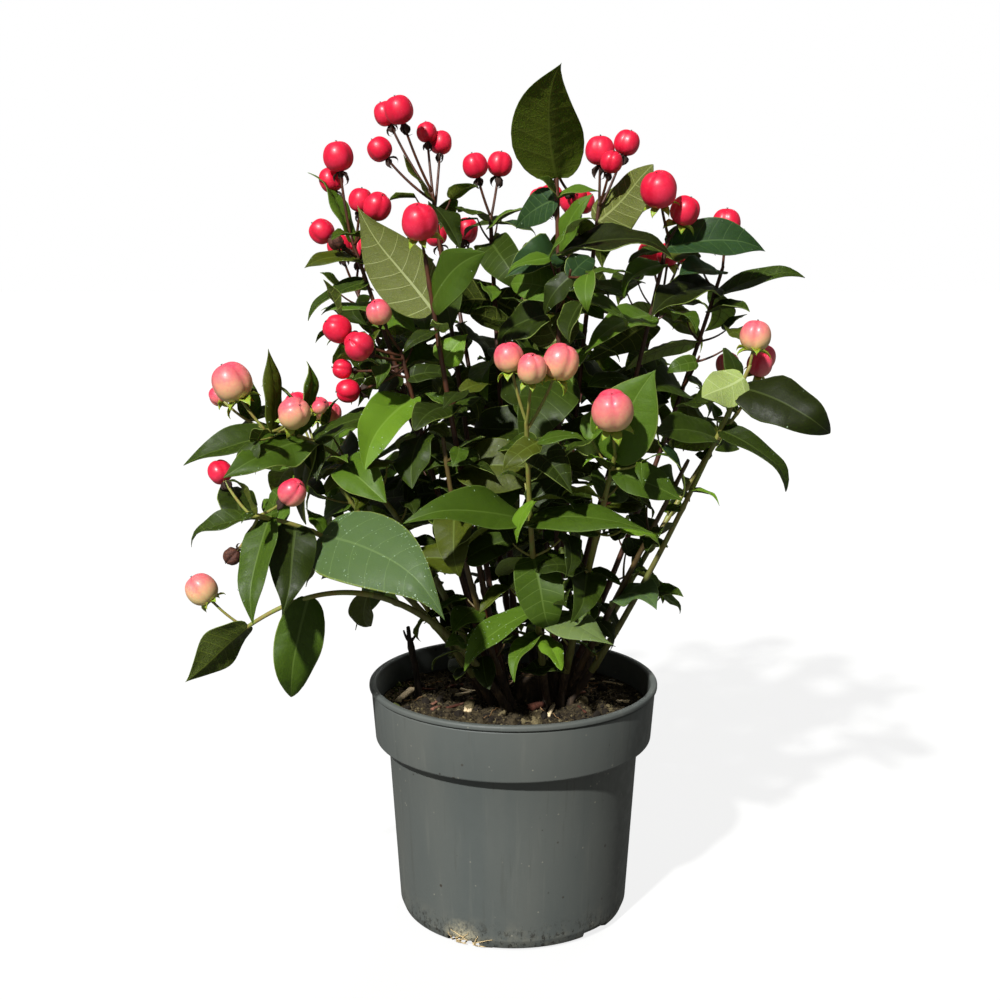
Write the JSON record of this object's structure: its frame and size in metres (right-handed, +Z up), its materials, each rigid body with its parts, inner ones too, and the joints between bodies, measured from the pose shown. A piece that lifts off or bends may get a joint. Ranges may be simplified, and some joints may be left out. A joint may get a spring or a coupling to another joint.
{
  "type": "potted hypericum",
  "caption": "Bushy berrying shrub with opposite leaves and red and pink berries, growing in a round plastic nursery pot.",
  "frame": {"origin": "middle of the pot's flat underside, on the ground", "axes": "+Z up along the pot's axis, +X to the right and +Y away from the viewer of the picture"},
  "size_m": [0.3066, 0.2567, 0.429],
  "materials": {
    "pot": "satin",
    "soil": "matte",
    "bark": "matte",
    "dead_wood": "matte",
    "canes": "satin",
    "foliage": "satin",
    "berries": "gloss"
  },
  "bodies": {
    "root": {"pot": "pot", "soil": "soil", "stock": "bark", "dead_stub": "dead_wood", "front_cane": "canes", "front_spray": "foliage", "tall_cane": "canes", "tall_spray": "foliage", "middle_rear_cane": "canes", "middle_rear_spray": "foliage", "upper_left_cane": "canes", "upper_left_spray": "foliage", "left_high_cane": "canes", "left_high_spray": "foliage", "left_inner_cane": "canes", "left_inner_spray": "foliage", "left_middle_cane": "canes", "left_middle_spray": "foliage", "far_left_cane": "canes", "far_left_spray": "foliage", "low_left_cane": "canes", "low_left_spray": "foliage", "drooping_cane": "canes", "drooping_spray": "foliage", "right_front_cane": "canes", "right_front_spray": "foliage", "right_cane": "canes", "right_spray": "foliage", "right_high_cane": "canes", "right_high_spray": "foliage", "right_rear_cane": "canes", "right_rear_spray": "foliage", "upper_right_cane": "canes", "upper_right_spray": "foliage", "inner_left_cane": "canes", "inner_left_spray": "foliage", "inner_right_cane": "canes", "inner_right_spray": "foliage", "left_skirt_cane": "canes", "left_skirt_spray": "foliage", "rear_left_low_cane": "canes", "rear_left_low_spray": "foliage", "rear_left_cane": "canes", "rear_left_spray": "foliage", "rear_middle_cane": "canes", "rear_middle_spray": "foliage", "rear_right_cane": "canes", "rear_right_spray": "foliage", "rear_far_right_cane": "canes", "rear_far_right_spray": "foliage", "right_low_cane": "canes", "right_low_spray": "foliage", "rear_skirt_cane": "canes", "rear_skirt_spray": "foliage"}
  },
  "joints": []
}
